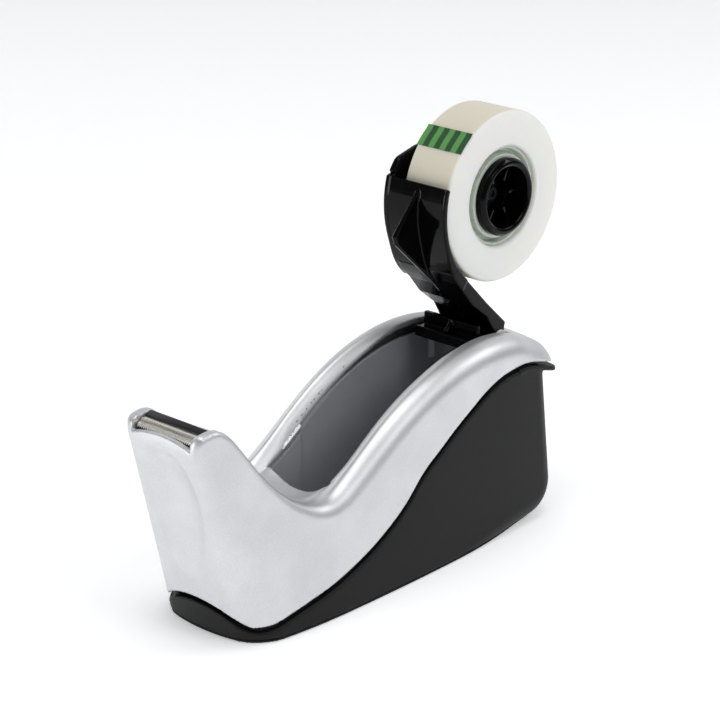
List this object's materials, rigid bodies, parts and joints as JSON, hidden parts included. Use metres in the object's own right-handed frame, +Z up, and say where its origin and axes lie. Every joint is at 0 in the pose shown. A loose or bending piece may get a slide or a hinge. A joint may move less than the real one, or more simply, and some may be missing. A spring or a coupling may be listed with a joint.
{
  "type": "tape dispenser",
  "caption": "Weighted desktop tape dispenser: a roll of tape on a swing-out arm that folds into a well behind a raised nose with a serrated blade.",
  "frame": {"origin": "on the table plane under the middle of the base", "axes": "+Z up, the blade and nose towards -Y, +X to the right seen from the front"},
  "size_m": [0.053, 0.1791, 0.1439],
  "materials": {
    "silver_cover": "satin metallic",
    "black_housing": "fine spark texture",
    "grey_well": "satin",
    "black_gloss": "gloss",
    "black_insert": "satin",
    "blade_steel": "bright",
    "plain_steel": "satin",
    "weight_iron": "as cast",
    "pad_foam": "matt",
    "natural_nylon": "satin",
    "tape_film": "frosted film",
    "core_plastic": "satin",
    "tab_film": "printed film"
  },
  "bodies": {
    "housing": {"top_cover": "silver_cover", "lower_housing": "black_housing", "tape_well": "grey_well", "base_plate": "black_insert", "base_pad": "pad_foam", "base_weight": "weight_iron", "nose_weight": "weight_iron", "base_screws": "plain_steel", "cover_screws": "plain_steel", "blade_holder": "black_insert", "tape_rest": "black_insert", "cutter_blade": "blade_steel", "hinge_pin": "plain_steel"},
    "roll_arm": {"swing_arm": "black_gloss", "hinge_bushes": "natural_nylon", "axle_washer": "plain_steel", "axle_screw": "plain_steel"},
    "tape_roll": {"hub_wheel": "black_gloss", "tape_core": "core_plastic", "tape_winding": "tape_film", "tape_end_tab": "tab_film"}
  },
  "joints": [
    {"name": "arm_swing", "type": "hinge", "parent": "housing", "child": "roll_arm", "pos_m": [0, 0.063, 0.06608], "axis": [1, 0, 0], "range_deg": [0, 124]},
    {"name": "roll_spin", "type": "hinge", "parent": "roll_arm", "child": "tape_roll", "pos_m": [0, 0.06682, 0.11463], "axis": [1, 0, 0], "continuous": true}
  ]
}
